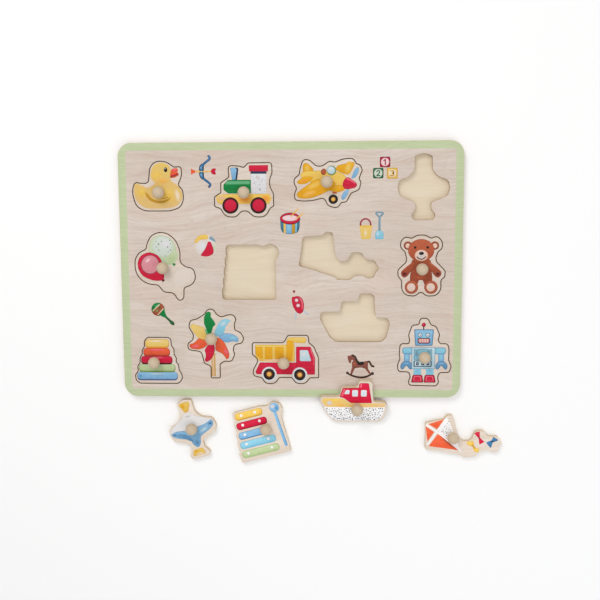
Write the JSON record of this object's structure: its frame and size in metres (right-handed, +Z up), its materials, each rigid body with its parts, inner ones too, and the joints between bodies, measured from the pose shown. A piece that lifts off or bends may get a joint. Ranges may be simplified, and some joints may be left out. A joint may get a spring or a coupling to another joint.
{
  "type": "peg puzzle",
  "caption": "Lift-out picture puzzle: a flat wooden board with toy-shaped recesses, and flat wooden toys that fit them, each lifted by a round turned knob.",
  "frame": {"origin": "middle of the board's underside, on the surface that it lies on", "axes": "+Z up out of the board's printed face, +X to the right of the pictures, +Y to their top"},
  "size_m": [0.4511, 0.3828, 0.0271],
  "materials": {
    "back_ply": "matte",
    "face_ply": "satin",
    "toy_ply": "satin",
    "knob_wood": "satin"
  },
  "bodies": {
    "board": {"back_panel": "back_ply", "face_panel": "face_ply"},
    "duck": {"duck_plate": "toy_ply", "duck_knob": "knob_wood"},
    "train": {"train_plate": "toy_ply", "train_knob": "knob_wood"},
    "plane": {"plane_plate": "toy_ply", "plane_knob": "knob_wood"},
    "spinning_top": {"spinning_top_plate": "toy_ply", "spinning_top_knob": "knob_wood"},
    "balloons": {"balloons_plate": "toy_ply", "balloons_knob": "knob_wood"},
    "xylophone": {"xylophone_plate": "toy_ply", "xylophone_knob": "knob_wood"},
    "kite": {"kite_plate": "toy_ply", "kite_knob": "knob_wood"},
    "bear": {"bear_plate": "toy_ply", "bear_knob": "knob_wood"},
    "boat": {"boat_plate": "toy_ply", "boat_knob": "knob_wood"},
    "rings": {"rings_plate": "toy_ply", "rings_knob": "knob_wood"},
    "pinwheel": {"pinwheel_plate": "toy_ply", "pinwheel_knob": "knob_wood"},
    "truck": {"truck_plate": "toy_ply", "truck_knob": "knob_wood"},
    "robot": {"robot_plate": "toy_ply", "robot_knob": "knob_wood"}
  },
  "joints": [
    {"name": "duck_lift", "type": "slide", "parent": "board", "child": "duck", "axis": [0, 0, 1], "range_m": [0, 0.06]},
    {"name": "train_lift", "type": "slide", "parent": "board", "child": "train", "axis": [0, 0, 1], "range_m": [0, 0.06]},
    {"name": "plane_lift", "type": "slide", "parent": "board", "child": "plane", "axis": [0, 0, 1], "range_m": [0, 0.06]},
    {"name": "spinning_top_lift", "type": "slide", "parent": "board", "child": "spinning_top", "axis": [0, 0, 1], "range_m": [0, 0.06]},
    {"name": "balloons_lift", "type": "slide", "parent": "board", "child": "balloons", "axis": [0, 0, 1], "range_m": [0, 0.06]},
    {"name": "xylophone_lift", "type": "slide", "parent": "board", "child": "xylophone", "axis": [0, 0, 1], "range_m": [0, 0.06]},
    {"name": "kite_lift", "type": "slide", "parent": "board", "child": "kite", "axis": [0, 0, 1], "range_m": [0, 0.06]},
    {"name": "bear_lift", "type": "slide", "parent": "board", "child": "bear", "axis": [0, 0, 1], "range_m": [0, 0.06]},
    {"name": "boat_lift", "type": "slide", "parent": "board", "child": "boat", "axis": [0, 0, 1], "range_m": [0, 0.06]},
    {"name": "rings_lift", "type": "slide", "parent": "board", "child": "rings", "axis": [0, 0, 1], "range_m": [0, 0.06]},
    {"name": "pinwheel_lift", "type": "slide", "parent": "board", "child": "pinwheel", "axis": [0, 0, 1], "range_m": [0, 0.06]},
    {"name": "truck_lift", "type": "slide", "parent": "board", "child": "truck", "axis": [0, 0, 1], "range_m": [0, 0.06]},
    {"name": "robot_lift", "type": "slide", "parent": "board", "child": "robot", "axis": [0, 0, 1], "range_m": [0, 0.06]}
  ]
}
